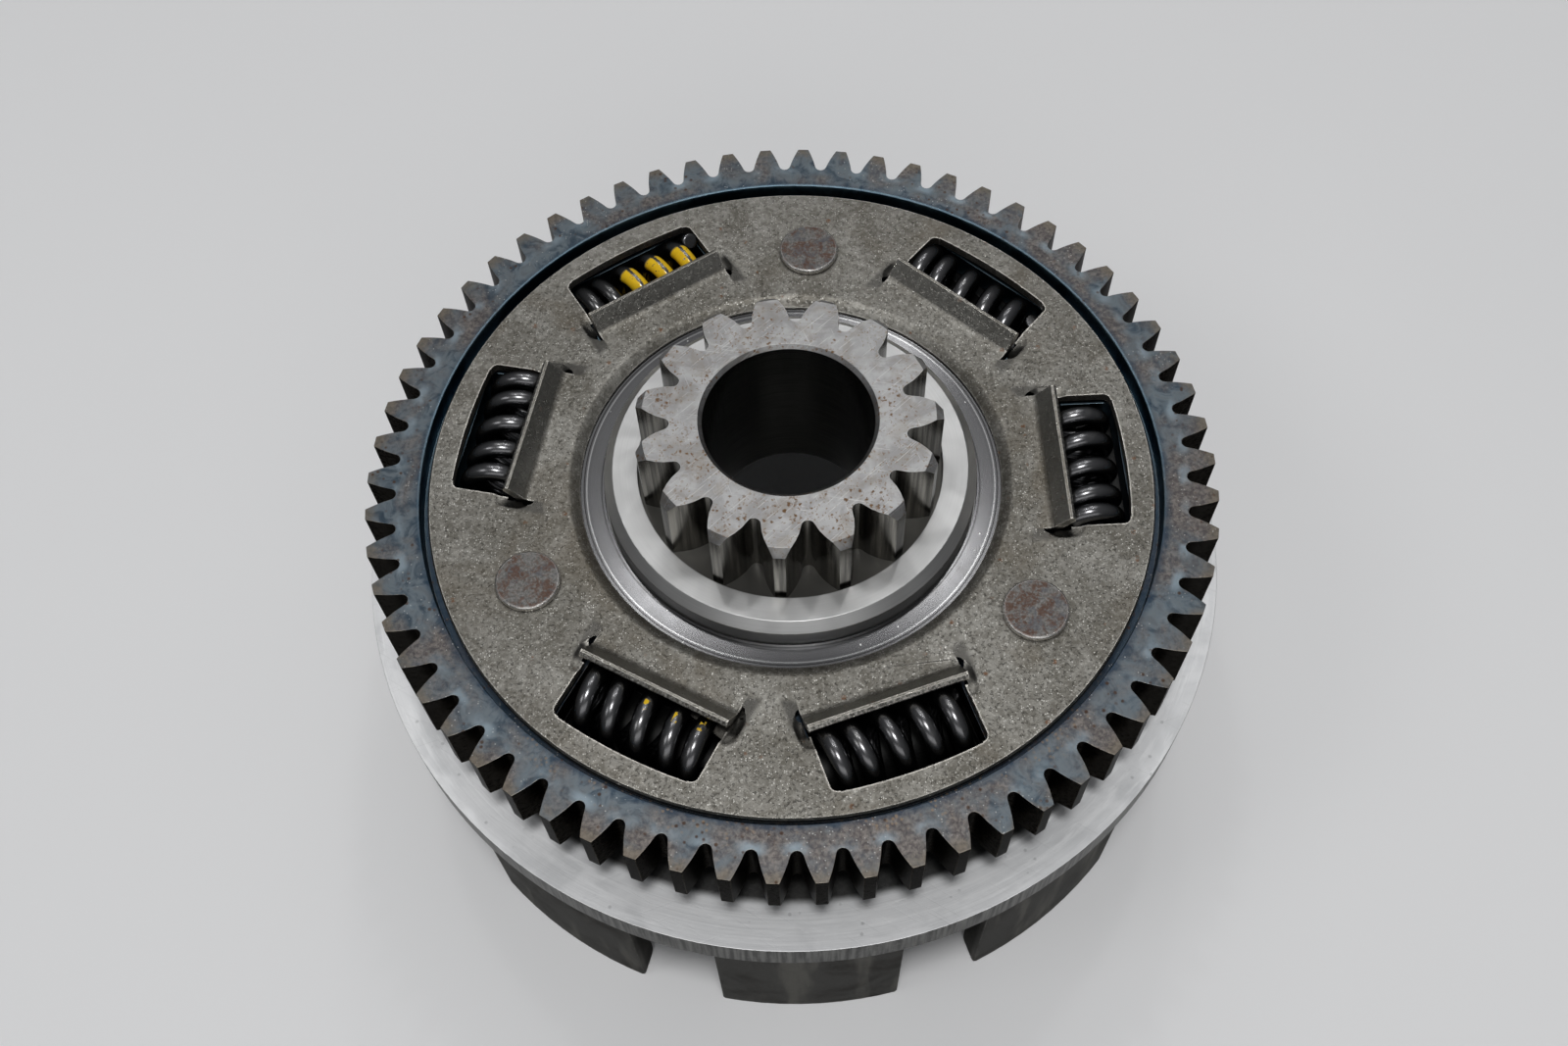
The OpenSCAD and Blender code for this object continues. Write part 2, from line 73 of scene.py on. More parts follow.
class Look:
    """A procedural material with short ways to add and join its nodes. Lengths are millimetres."""

    def __init__(self, name, metallic=1.0):
        self.material = bpy.data.materials.new(name)
        self.material.use_nodes = True
        self.tree = self.material.node_tree
        self.shader = self.tree.nodes["Principled BSDF"]
        self.shader.inputs["Metallic"].default_value = metallic
        coordinates = self.tree.nodes.new("ShaderNodeTexCoord").outputs["Object"]
        self.place = self.node("ShaderNodeVectorMath", {0: coordinates, "Scale": 1 / MM},
                               operation="SCALE")
        self.x, self.y, self.z = self.split(self.place)
        self.geometry = self.tree.nodes.new("ShaderNodeNewGeometry")

    def put(self, socket, value):
        """Sets an input to a number, colour or vector, or links it to another node's output."""
        if isinstance(value, bpy.types.NodeSocket):
            self.tree.links.new(value, socket)
        elif value is not None:
            socket.default_value = value

    def node(self, kind, inputs, output=0, **settings):
        """Adds a node and gives back one of its outputs."""
        made = self.tree.nodes.new(kind)
        for name, value in settings.items():
            setattr(made, name, value)
        for key, value in inputs.items():
            self.put(made.inputs[key], value)
        return made.outputs[output]

    def math(self, operation, a, b=None):
        return self.node("ShaderNodeMath", {0: a, 1: b}, operation=operation)

    def add(self, *terms):
        found = terms[0]
        for term in terms[1:]:
            found = self.math("ADD", found, term)
        return found

    def times(self, value, factor):
        return self.math("MULTIPLY", value, factor)

    def apart(self, a, b):
        """How far two numbers are apart."""
        return self.math("ABSOLUTE", self.math("SUBTRACT", a, b))

    def vector(self, x, y, z):
        return self.node("ShaderNodeCombineXYZ", {0: x, 1: y, 2: z})

    def split(self, vector):
        """The three numbers of a vector."""
        made = self.tree.nodes.new("ShaderNodeSeparateXYZ")
        self.put(made.inputs[0], vector)
        return made.outputs

    def fade(self, value, start, end):
        """0 where value is at start, 1 where it is at end, and smooth between them."""
        if start > end:
            return self.inverse(self.fade(value, end, start))
        return self.node("ShaderNodeMapRange",
                         {"Value": value, "From Min": start, "From Max": end},
                         interpolation_type="SMOOTHSTEP")

    def inverse(self, mask):
        """1 where the mask is 0, and 0 where it is 1."""
        return self.math("SUBTRACT", 1.0, mask)

    def both(self, *masks):
        """1 where all the masks are 1."""
        found = masks[0]
        for mask in masks[1:]:
            found = self.times(found, mask)
        return found

    def either(self, *masks):
        """1 where any of the masks is 1."""
        found = masks[0]
        for mask in masks[1:]:
            found = self.math("MAXIMUM", found, mask)
        return found

    def noise(self, scale, detail=3.0, roughness=0.5, distortion=0.0, vector=None):
        return self.node("ShaderNodeTexNoise",
                         {"Vector": vector or self.place, "Scale": scale, "Detail": detail,
                          "Roughness": roughness, "Distortion": distortion}, "Fac")

    def spots(self, scale, radius, share, vector=None):
        """Small round spots in some of the cells of a grid: 1 in a spot's middle."""
        cell = self.tree.nodes.new("ShaderNodeTexVoronoi")
        self.put(cell.inputs["Vector"], vector or self.place)
        cell.inputs["Scale"].default_value = scale
        near = self.fade(cell.outputs["Distance"], radius, radius * 0.4)
        chosen = self.split(cell.outputs["Color"])[0]
        return self.both(near, self.math("LESS_THAN", chosen, share))

    def mix(self, factor, a, b):
        """A colour between a and b."""
        made = self.tree.nodes.new("ShaderNodeMix")
        made.data_type = "RGBA"
        self.put(made.inputs[0], factor)
        self.put(made.inputs[6], colour(a))
        self.put(made.inputs[7], colour(b))
        return made.outputs[2]

    def blend(self, factor, a, b):
        """A number between a and b."""
        return self.node("ShaderNodeMix", {0: factor, 2: a, 3: b})

    def radius(self):
        """The distance from the common axis."""
        return self.node("ShaderNodeVectorMath", {0: self.vector(self.x, self.y, 0.0)},
                         "Value", operation="LENGTH")

    def angle(self):
        """The bearing in radians."""
        return self.math("ARCTAN2", self.y, self.x)

    def facing_up(self, start=0.6, end=0.9):
        """1 on faces that look up."""
        return self.fade(self.split(self.geometry.outputs["True Normal"])[2], start, end)

    def dull(self, left, mask=None):
        """Lowers metal's gloss at low angles to a share of it, everywhere or where mask is 1."""
        tint = colour(left) if mask is None else self.mix(mask, 1.0, left)
        self.put(self.shader.inputs["Specular Tint"], tint)

    def lip_distance(self):
        """How far a point is from the middle of the nearest window, along that window."""
        turn = self.math("SUBTRACT", self.angle(), math.radians(FIRST_RIVET))
        folded = self.math("PINGPONG", self.add(turn, 2 * math.pi),
                           math.radians(RIVET_PITCH / 2))
        off = self.apart(folded, math.radians(WINDOW_OFFSET))
        return self.times(self.radius(), self.math("SINE", off))

    def facing_out(self):
        """How far the surface faces away from the common axis, from -1 to 1."""
        out = self.node("ShaderNodeVectorMath", {0: self.vector(self.x, self.y, 0.0)},
                        operation="NORMALIZE")
        return self.node("ShaderNodeVectorMath", {0: out, 1: self.geometry.outputs["True Normal"]},
                         "Value", operation="DOT_PRODUCT")

    def turned(self, scale):
        """Fine rings round the common axis, as a lathe leaves them."""
        rings = self.vector(self.times(self.radius(), scale), self.times(self.angle(), 1.5),
                            self.times(self.z, scale))
        return self.noise(1.0, 2.0, 0.6, vector=rings)

    def scratches(self, degrees, length, width, share):
        """Thin straight scratches in one direction: 1 in a scratch."""
        turn = self.node("ShaderNodeVectorRotate",
                         {"Vector": self.place, "Angle": math.radians(degrees)},
                         rotation_type="Z_AXIS")
        x, y, z = self.split(turn)
        stretched = self.vector(self.math("DIVIDE", x, length), self.math("DIVIDE", y, width),
                                self.math("DIVIDE", z, length))
        return self.fade(self.noise(1.0, 2.0, 0.5, vector=stretched), 1 - share, 1.05 - share)

    def edges(self, size, start=0.03, end=0.25):
        """1 along sharp edges and corners."""
        rounded = self.node("ShaderNodeBevel", {"Radius": size * MM}, samples=6)
        same = self.node("ShaderNodeVectorMath",
                         {0: rounded, 1: self.geometry.outputs["Normal"]}, "Value",
                         operation="DOT_PRODUCT")
        return self.fade(same, 1 - start, 1 - end)

    def crevices(self, distance):
        """1 deep in corners and gaps, where the looks paint shade."""
        occlusion = self.node("ShaderNodeAmbientOcclusion", {"Distance": distance * MM}, "AO",
                              samples=6)
        return self.fade(occlusion, 0.85, 0.25)

    def lathe(self, amount):
        """Stretches the gloss across lathe rings, as on turned metal."""
        self.shader.inputs["Anisotropic"].default_value = amount
        tangent = self.node("ShaderNodeTangent", {}, direction_type="RADIAL", axis="Z")
        self.put(self.shader.inputs["Tangent"], tangent)

    def finish(self, base, roughness, height=None, depth=0.02):
        """Joins colour, roughness and a bump whose full height is depth millimetres."""
        self.put(self.shader.inputs["Base Color"], base)
        self.put(self.shader.inputs["Roughness"], roughness)
        if height is not None:
            bump = self.node("ShaderNodeBump", {"Height": height, "Distance": depth * MM,
                                                "Strength": 1.0})
            self.put(self.shader.inputs["Normal"], bump)
        return self.material


def colour(value):
    """A grey level, an RGB triple or a socket, as a colour input takes it."""
    if isinstance(value, (int, float)):
        return (value, value, value, 1.0)
    if isinstance(value, tuple) and len(value) == 3:
        return (*value, 1.0)
    return value


def gear_look():
    """Heat-tinted forged steel on the toothed rim, and satin machined steel on the hub collar."""
    look = Look("gear_steel")
    radius, angle, up = look.radius(), look.angle(), look.facing_up()

    # Where each point lies between two teeth: 0 in the middle of a tooth and 1 in a tooth space.
    turns = look.times(look.math("SUBTRACT", angle, math.radians(FIRST_TOOTH)),
                       GEAR_TEETH / (2 * math.pi))
    between = look.times(look.math("PINGPONG", look.add(turns, 2.0 * GEAR_TEETH), 0.5), 2.0)
    wide = look.noise(0.09, 4.0, 0.6, 0.6)
    middle = look.noise(0.35, 5.0, 0.62, 0.8)
    fine = look.noise(1.6, 5.0, 0.65, 0.4)
    grain = look.noise(9.0, 3.0, 0.7)

    blue = look.mix(look.fade(middle, 0.3, 0.7), (0.046, 0.066, 0.088), (0.215, 0.250, 0.272))
    brown = look.mix(look.fade(fine, 0.3, 0.7), (0.080, 0.072, 0.073), (0.225, 0.205, 0.190))
    front = look.fade(look.times(look.y, -1.0), 20.0, 58.0)
    right = look.fade(look.x, 10.0, 60.0)
    warm = look.add(wide, look.times(front, 0.10), look.times(right, 0.05))
    tint = look.mix(look.fade(warm, 0.44, 0.66), blue, brown)
    tint = look.mix(look.times(look.fade(middle, 0.5, 0.68), 0.5), tint, (0.055, 0.055, 0.062))
    # A pale blue halo round the root of each tooth space.
    halo_centre = look.add(ROOT_RADIUS - 1.0, look.times(middle, 1.6))
    halo = look.both(look.fade(look.apart(radius, halo_centre), 1.3, 0.2),
                     look.fade(between, 0.05, 0.85),
                     look.fade(look.noise(0.16, 3.0, 0.6, 0.5), 0.38, 0.62))
    tint = look.mix(look.times(halo, 0.75), tint, (0.28, 0.345, 0.39))
    tip = look.both(look.fade(look.add(radius, look.times(fine, 2.0)),
                              ROOT_RADIUS + 3.1, ROOT_RADIUS + 5.1),
                    look.fade(wide, 0.3, 0.55))
    straw = look.mix(fine, (0.09, 0.078, 0.062), (0.26, 0.225, 0.18))
    tint = look.mix(look.times(tip, 0.8), tint, straw)
    inner_band = look.fade(look.add(radius, look.times(middle, 2.4)),
                           RIM_INSIDE + 2.7, RIM_INSIDE + 1.0)
    tint = look.mix(look.times(inner_band, 0.75), tint, (0.022, 0.042, 0.070))

    rust_spots = look.both(look.spots(1.15, 0.42, 0.30),
                           look.fade(look.noise(0.22, 3.0), 0.47, 0.6))
    crust = look.both(look.spots(1.5, 0.45, 0.5), front,
                      look.fade(radius, ROOT_RADIUS + 1.0, RIM_INSIDE + 1.1),
                      look.fade(look.noise(0.2, 3.0), 0.42, 0.58))
    tint = look.mix(look.times(rust_spots, 0.7), tint, (0.12, 0.065, 0.04))
    tint = look.mix(look.times(crust, 0.7), tint, (0.26, 0.19, 0.13))
    bright = look.both(look.spots(2.6, 0.35, 0.16), look.fade(look.noise(0.15), 0.45, 0.6))
    tint = look.mix(look.times(bright, 0.6), tint, (0.6, 0.6, 0.58))

    # The tooth flanks and other faces that don't look up are dark polished steel, painted darker
    # still as shade.
    flank = look.mix(fine, (0.013, 0.0128, 0.0125), (0.052, 0.050, 0.047))
    inner_wall = look.both(look.fade(radius, RIM_INSIDE + 0.7, RIM_INSIDE + 0.3),
                           look.fade(radius, RIM_INSIDE - 5.9, RIM_INSIDE - 3.9))
    wall_tint = look.mix(look.fade(wide, 0.4, 0.65), (0.05, 0.10, 0.15), (0.20, 0.32, 0.40))
    flank = look.mix(inner_wall, flank, wall_tint)
    rim = look.mix(up, flank, tint)
    wall = look.inverse(up)
    look.dull(0.35, look.both(wall, look.fade(radius, COLLAR_RADIUS + 2.9, COLLAR_RADIUS + 4.9)))
    bright_edge = look.times(look.edges(0.22), look.fade(look.noise(0.8, 4.0), 0.35, 0.6))
    rim = look.mix(look.times(bright_edge, 0.75), rim, (0.48, 0.42, 0.33))
    # A painted highlight: a pale blue line along the top of the rim's inside, on the back half
    # only.
    inner_edge_highlight = look.both(look.edges(0.9, 0.02, 0.12),
                           look.fade(radius, RIM_INSIDE + 1.1, RIM_INSIDE + 0.4), up,
                           look.fade(look.y, -20.0, 15.0))
    rim = look.mix(look.times(inner_edge_highlight, 0.8), rim, (0.34, 0.50, 0.60))

    turned = look.turned(9.0)
    satin = look.mix(turned, (0.47, 0.47, 0.467), (0.60, 0.60, 0.594))
    smear = look.fade(look.noise(0.12, 3.0, 0.5, 1.0), 0.4, 0.7)
    satin = look.mix(look.times(smear, 0.22), satin, (0.40, 0.40, 0.40))
    # Painted shade: inside the recess's radius the collar's steel is painted dark.
    recess_shade = look.fade(radius, RECESS_RADIUS + 0.2, RECESS_RADIUS - 0.1)
    satin = look.mix(recess_shade, satin, (0.10, 0.097, 0.09))
    upright = look.both(wall, look.fade(look.facing_out(), 0.8, 0.95))
    satin = look.mix(look.times(upright, 0.20), satin, (0.10, 0.10, 0.10))
    collar = look.fade(radius, COLLAR_RADIUS + 2.9, COLLAR_RADIUS + 1.9)
    base = look.mix(collar, rim, satin)

    rim_rough = look.add(0.30, look.times(middle, 0.18), look.times(grain, 0.12),
                         look.times(rust_spots, 0.3))
    rim_rough = look.blend(up, look.add(0.22, look.times(fine, 0.16)), rim_rough)
    collar_rough = look.add(0.36, look.times(turned, 0.10), look.times(smear, 0.08))
    rough = look.blend(collar, rim_rough, collar_rough)
    rim_height = look.add(look.times(fine, 0.5), look.times(grain, 0.35),
                          look.times(rust_spots, -0.6))
    height = look.blend(collar, rim_height, look.times(turned, 0.18))
    return look.finish(base, rough, height, 0.022)


def plate_look():
    """Matt pressed steel with a fine bright grain, faint stains and a few rust spots."""
    look = Look("plate_steel")
    up, out, radius = look.facing_up(), look.facing_out(), look.radius()
    grain = look.noise(1.7, 4.0, 0.72)
    coarse = look.noise(0.75, 4.0, 0.65, 0.4)
    sparkle = look.both(look.spots(3.4, 0.45, 0.36),
                        look.fade(look.noise(1.1, 3.0), 0.38, 0.62))
    cloud = look.noise(0.085, 4.0, 0.6, 0.8)
    pit = look.fade(look.noise(2.0, 4.0, 0.65, 0.3), 0.55, 0.66)
    base = look.mix(look.fade(cloud, 0.35, 0.65), (0.203, 0.193, 0.170), (0.330, 0.320, 0.292))
    base = look.mix(look.times(look.fade(coarse, 0.60, 0.40), 0.44), base, (0.082, 0.073, 0.056))
    base = look.mix(look.times(look.fade(grain, 0.50, 0.70), 0.55), base, (0.50, 0.485, 0.44))
    base = look.mix(look.times(pit, 0.6), base, (0.055, 0.052, 0.045))
    base = look.mix(look.times(sparkle, 0.60), base, (0.84, 0.83, 0.78))
    rust = look.both(look.spots(0.5, 0.26, 0.16), look.fade(look.noise(2.5), 0.4, 0.55))
    base = look.mix(look.times(rust, 0.7), base, (0.26, 0.11, 0.045))
    stain = look.fade(look.noise(0.05, 3.0, 0.5, 1.2), 0.52, 0.72)
    base = look.mix(look.times(stain, 0.45), base, (0.17, 0.145, 0.11))
    # Painted shade: darker in corners and gaps.
    painted_crevice_shade = look.crevices(2.5)
    base = look.mix(look.times(painted_crevice_shade, 0.8), base, (0.045, 0.040, 0.034))
    scratch = look.either(look.scratches(24, 9.0, 0.18, 0.30),
                          look.scratches(-61, 7.0, 0.16, 0.29))
    base = look.mix(look.times(scratch, 0.3), base, (0.6, 0.58, 0.55))
    # The pressed dents beside the lips are smooth, and painted dark as their shade.
    beside = look.lip_distance()
    dent = look.both(look.fade(beside, LIP_HALF_LENGTH - 0.25, LIP_HALF_LENGTH + 0.05),
                     look.fade(beside, LIP_HALF_LENGTH + 2.45, LIP_HALF_LENGTH + 1.45),
                     look.fade(radius, LIP_RADIUS - 1.1, LIP_RADIUS),
                     look.fade(radius, LIP_RADIUS + 6.0, LIP_RADIUS + 4.8),
                     look.fade(look.z, PLATE_TOP + 0.22, PLATE_TOP + 0.12))
    dent_shade_tint = look.mix(coarse, (0.035, 0.034, 0.032), (0.075, 0.072, 0.066))
    base = look.mix(look.times(dent, 0.88), base, dent_shade_tint)
    lip = look.both(look.fade(look.z, PLATE_TOP + 0.17, PLATE_TOP + 0.47), look.inverse(up),
                    look.fade(radius, LIP_RADIUS + 7.0, LIP_RADIUS + 6.0),
                    look.fade(radius, LIP_RADIUS - 2.5, LIP_RADIUS - 1.5))
    base = look.mix(look.times(lip, 0.4), base, (0.50, 0.49, 0.46))
    # The sheared ends of the lips are toothed light and dark.
    lip_end = look.both(look.fade(out, 0.45, 0.6),
                        look.fade(look.z, PLATE_TOP + 1.27, PLATE_TOP + 1.57))
    upright = look.vector(look.times(look.x, 2.2), look.times(look.y, 2.2), 0.0)
    saw = look.fade(look.noise(1.0, 3.0, 0.7, vector=upright), 0.40, 0.62)
    sheared = look.mix(saw, (0.10, 0.095, 0.085), (0.62, 0.60, 0.55))
    base = look.mix(look.times(lip_end, 0.9), base, sheared)
    # A painted highlight: thin bright lines along the edges, except in the dents.
    bright_edge = look.times(look.edges(0.5, 0.012, 0.12), look.inverse(dent))
    base = look.mix(look.times(bright_edge, 0.85), base, (0.74, 0.71, 0.65))
    rough = look.add(0.46, look.times(grain, 0.14), look.times(sparkle, -0.20),
                     look.times(rust, 0.2), look.times(bright_edge, -0.16), look.times(dent, -0.22),
                     look.times(lip, -0.20))
    height = look.add(look.times(grain, 0.6), look.times(coarse, 0.6), look.times(pit, -0.5),
                      look.times(scratch, -0.25))
    height = look.blend(dent, height, 0.5)
    return look.finish(base, rough, height, 0.05)


def rivet_look():
    """Grey rivet heads with red-brown rust mottling, and a bright rim that is a painted highlight.
    """
    look = Look("rivet_steel")
    grain = look.noise(2.6, 5.0, 0.7)
    patch = look.noise(0.55, 5.0, 0.62, 0.6)
    rust = look.both(look.fade(patch, 0.42, 0.60), look.fade(look.noise(2.4, 4.0), 0.34, 0.54))
    dark = look.fade(look.noise(0.45, 4.0, 0.6, 0.9), 0.46, 0.60)
    base = look.mix(look.fade(grain, 0.3, 0.7), (0.10, 0.098, 0.093), (0.23, 0.224, 0.215))
    base = look.mix(look.times(dark, 0.55), base, (0.085, 0.09, 0.105))
    rust_tint = look.mix(grain, (0.12, 0.060, 0.040), (0.23, 0.14, 0.105))
    base = look.mix(look.times(rust, 0.75), base, rust_tint)
    # A painted highlight: the head's rim and sharp edges are painted bright all round.
    bright_edge = look.either(look.inverse(look.facing_up(0.90, 0.99)), look.edges(0.5, 0.012, 0.10))
    base = look.mix(bright_edge, base, (0.82, 0.80, 0.77))
    # Painted shadow: darker in corners, as round the foot of the head.
    base = look.mix(look.times(look.crevices(1.2), 0.8), base, (0.05, 0.045, 0.04))
    rough = look.add(0.40, look.times(rust, 0.25), look.times(bright_edge, -0.24),
                     look.times(grain, 0.1))
    height = look.add(look.times(grain, 0.4), look.times(rust, 0.5))
    return look.finish(base, rough, height, 0.02)


def pinion_look():
    """Ground steel with fine scratches and many small rust spots on top, and polished flanks."""
    look = Look("pinion_steel")
    radius, up = look.radius(), look.facing_up(0.4, 0.6)
    grain = look.noise(7.0, 3.0, 0.7)
    cloud = look.noise(0.22, 4.0, 0.6, 0.8)
    face = look.mix(look.fade(cloud, 0.35, 0.65), (0.275, 0.272, 0.27), (0.40, 0.40, 0.40))
    scratch = look.either(look.scratches(-42, 6.0, 0.17, 0.36),
                          look.scratches(12, 8.0, 0.15, 0.33),
                          look.scratches(71, 5.0, 0.16, 0.31))
    face = look.mix(look.times(scratch, 0.5), face, (0.72, 0.71, 0.70))
    shift = look.vector(look.noise(2.0), look.noise(2.3), 0.0)
    bent = look.node("ShaderNodeVectorMath", {0: look.place, 1: shift}, operation="ADD")
    rust = look.both(look.spots(1.4, 0.40, 0.48, bent),
                     look.fade(look.noise(0.16, 3.0), 0.46, 0.58))
    tiny = look.both(look.spots(2.6, 0.42, 0.5, bent),
                     look.fade(look.noise(0.2, 3.0), 0.38, 0.52))
    film = look.fade(look.noise(0.35, 4.0, 0.6, 0.5), 0.45, 0.68)
    face = look.mix(look.times(film, 0.32), face, (0.23, 0.19, 0.14))
    face = look.mix(look.times(tiny, 0.75), face, (0.19, 0.115, 0.055))
    face = look.mix(look.times(rust, 0.85), face, (0.22, 0.115, 0.045))
    wall = look.inverse(up)
    upright = look.vector(look.times(look.x, 1.6), look.times(look.y, 1.6),
                          look.times(look.z, 0.06))
    lines = look.noise(1.0, 2.0, 0.5, vector=upright)
    flank = look.mix(look.fade(lines, 0.35, 0.7), (0.07, 0.067, 0.060), (0.26, 0.25, 0.225))
    bore = look.both(look.fade(radius, BORE_RADIUS + 0.4, BORE_RADIUS + 0.1), wall)
    bore_tint = look.mix(look.turned(4.0), (0.055, 0.055, 0.050), (0.17, 0.168, 0.155))
    flank = look.mix(bore, flank, bore_tint)
    base = look.mix(up, flank, face)
    bright_edge = look.edges(0.2)
    base = look.mix(look.times(bright_edge, 0.6), base, (0.78, 0.77, 0.75))
    # Painted shade: darker in corners and gaps.
    base = look.mix(look.times(look.crevices(4.0), 0.55), base, (0.06, 0.06, 0.055))
    rough = look.blend(up, look.add(0.16, look.times(lines, 0.14)),
                       look.add(0.33, look.times(grain, 0.10), look.times(rust, 0.3),
                                look.times(cloud, 0.08)))
    height = look.add(look.times(scratch, -0.3), look.times(grain, 0.2), look.times(rust, 0.5),
                      look.times(look.both(lines, wall), 0.2))
    return look.finish(base, rough, height, 0.015)


def cone_look():
    """Polished spring steel with faint lathe rings and a few bright specks."""
    look = Look("spring_steel")
    look.lathe(0.6)
    radius = look.radius()
    rings = look.noise(1.0, 3.0, 0.6, vector=look.vector(look.times(radius, 2.2), 0.0, 0.0))
    speck = look.both(look.spots(0.9, 0.16, 0.12), look.fade(look.noise(0.3), 0.45, 0.55))
    smear = look.noise(0.25, 4.0, 0.6, 0.8)
    base = look.mix(rings, (0.060, 0.060, 0.064), (0.150, 0.150, 0.152))
    base = look.mix(look.times(look.fade(smear, 0.5, 0.8), 0.4), base, (0.09, 0.088, 0.085))
    # Thin rings near the plate's edge and the collar, as (radius, grey level): a light turned
    # line, and dark lines painted as shadow where the plate's edge and the collar meet the spring.
    for middle, shade in ((31.05, 0.30), (31.45, 0.02), (28.75, 0.03)):
        line = look.fade(look.apart(radius, middle), 0.14, 0.05)
        base = look.mix(look.times(line, 0.8), base, shade)
    base = look.mix(speck, base, (0.9, 0.9, 0.88))
    rough = look.add(0.13, look.times(rings, 0.06), look.times(smear, 0.06),
                     look.times(speck, 0.2))
    height = look.add(look.times(rings, 0.02), look.times(speck, 0.3))
    return look.finish(base, rough, height, 0.005)


def aluminium_look():
    """Cast aluminium: a bright turned flange with scratches, and darker cast skin elsewhere, which
    under the gear also serves as painted shade.
    """
    look = Look("cast_aluminium")
    radius, up, angle = look.radius(), look.facing_up(), look.angle()
    look.lathe(0.5)
    turned = look.turned(4.0)
    cloud = look.noise(0.06, 4.0, 0.6, 0.7)
    bright = look.mix(turned, (0.74, 0.745, 0.755), (0.90, 0.905, 0.91))
    bright = look.mix(look.times(look.fade(cloud, 0.42, 0.7), 0.45), bright, (0.42, 0.43, 0.44))
    round_axis = look.vector(look.times(radius, 0.9), look.times(angle, 7.0), 0.0)
    rubbed = look.noise(1.0, 4.0, 0.65, 0.3, round_axis)
    bright = look.mix(look.times(look.fade(rubbed, 0.50, 0.66), 0.45), bright,
                      (0.95, 0.955, 0.96))
    scratch = look.either(look.scratches(33, 7.0, 0.24, 0.36),
                          look.scratches(-18, 10.0, 0.22, 0.34))
    bright = look.mix(look.times(scratch, 0.10), bright, (0.30, 0.30, 0.30))
    nick = look.both(look.spots(0.7, 0.25, 0.25), look.fade(look.noise(0.2), 0.45, 0.55))
    bright = look.mix(look.times(nick, 0.3), bright, (0.12, 0.12, 0.12))

    upright = look.vector(look.times(angle, 90.0), look.times(look.z, 0.06), 0.0)
    chatter = look.noise(1.0, 2.0, 0.6, vector=upright)
    nicked = look.fade(look.noise(1.3, 3.0, 0.6), 0.55, 0.65)
    side = look.mix(look.fade(chatter, 0.35, 0.65), (0.05, 0.05, 0.048), (0.21, 0.21, 0.20))
    side = look.mix(look.times(nicked, 0.15), side, (0.45, 0.45, 0.44))
    wall = look.inverse(up)
    outside = look.both(look.fade(radius, FLANGE_RADIUS - 0.6, FLANGE_RADIUS - 0.2), wall)
    sand = look.noise(2.2, 5.0, 0.7)
    cast = look.mix(sand, (0.035, 0.035, 0.035), (0.12, 0.12, 0.118))
    cast = look.mix(look.times(look.fade(cloud, 0.4, 0.65), 0.4), cast, (0.05, 0.047, 0.042))
    # Only the flange top beyond about 60 mm is turned and bright; nearer the axis, under the gear,
    # the top keeps the dark cast skin, which there also stands for the gear's shade.
    machined = look.both(up, look.fade(radius, FLANGE_RADIUS - 7.8, FLANGE_RADIUS - 6.3))
    base = look.mix(outside, cast, side)
    base = look.mix(machined, base, bright)
    bright_edge = look.times(look.edges(0.35), look.fade(look.noise(1.1, 3.0), 0.38, 0.52))
    base = look.mix(look.times(bright_edge, 0.85), base, (0.90, 0.90, 0.90))
    # Painted shade: darker in corners and gaps.
    base = look.mix(look.times(look.crevices(6.0), 0.5), base, (0.03, 0.03, 0.03))
    look.dull(0.6, wall)
    look.put(look.shader.inputs["Metallic"], look.blend(machined, 1.0, 0.45))
    rough = look.blend(machined, look.add(0.42, look.times(sand, 0.2)),
                       look.add(0.36, look.times(turned, 0.12), look.times(cloud, 0.10)))
    rough = look.blend(outside, rough, 0.32)
    height = look.blend(machined, sand,
                        look.add(look.times(turned, 0.22), look.times(rubbed, 0.4),
                                 look.times(scratch, -0.08), look.times(nick, -0.2)))
    height = look.blend(outside, height, look.add(look.times(chatter, 0.5),
                                                  look.times(nicked, -0.1)))
    return look.finish(base, rough, height, 0.035)


def finger_look():
    """Cast fingers painted dark, as cast metal and as painted shade, with a sandy skin, oil stains
    and rubbed edges; their inner faces are painted darker still as shade.
    """
    look = Look("cast_fingers")
    sand = look.noise(1.9, 5.0, 0.72)
    cloud = look.noise(0.09, 4.0, 0.6, 0.9)
    base = look.mix(sand, (0.055, 0.055, 0.053), (0.150, 0.148, 0.140))
    base = look.mix(look.times(look.fade(cloud, 0.45, 0.7), 0.6), base, (0.035, 0.032, 0.028))
    upright = look.vector(look.times(look.angle(), 14.0), 0.0, look.times(look.z, 0.03))
    runs = look.noise(1.0, 3.0, 0.6, vector=upright)
    base = look.mix(look.times(look.fade(runs, 0.48, 0.66), 0.6), base, (0.21, 0.205, 0.185))
    # Painted shade: the fingers' inner faces are darker.
    inner_face_shade = look.fade(look.radius(), FINGER_RADIUS - 0.8, FINGER_RADIUS - 1.6)
    base = look.mix(look.times(inner_face_shade, 0.6), base, (0.018, 0.017, 0.015))
    bright_edge = look.times(look.edges(0.4), look.fade(look.noise(0.9, 3.0), 0.42, 0.6))
    base = look.mix(look.times(bright_edge, 0.5), base, (0.45, 0.45, 0.44))
    look.dull(0.4)
    rough = look.add(0.36, look.times(sand, 0.25), look.times(bright_edge, -0.12))
    return look.finish(base, rough, sand, 0.06)


def washer_look():
    """Bronze thrust washer with a turned finish."""
    look = Look("washer_bronze")
    rings = look.turned(8.0)
    stain = look.noise(0.3, 4.0, 0.6, 0.7)
    base = look.mix(rings, (0.52, 0.39, 0.20), (0.72, 0.56, 0.32))
    base = look.mix(look.times(stain, 0.5), base, (0.34, 0.25, 0.14))
    return look.finish(base, look.add(0.24, look.times(rings, 0.2)), look.times(rings, 0.4), 0.01)


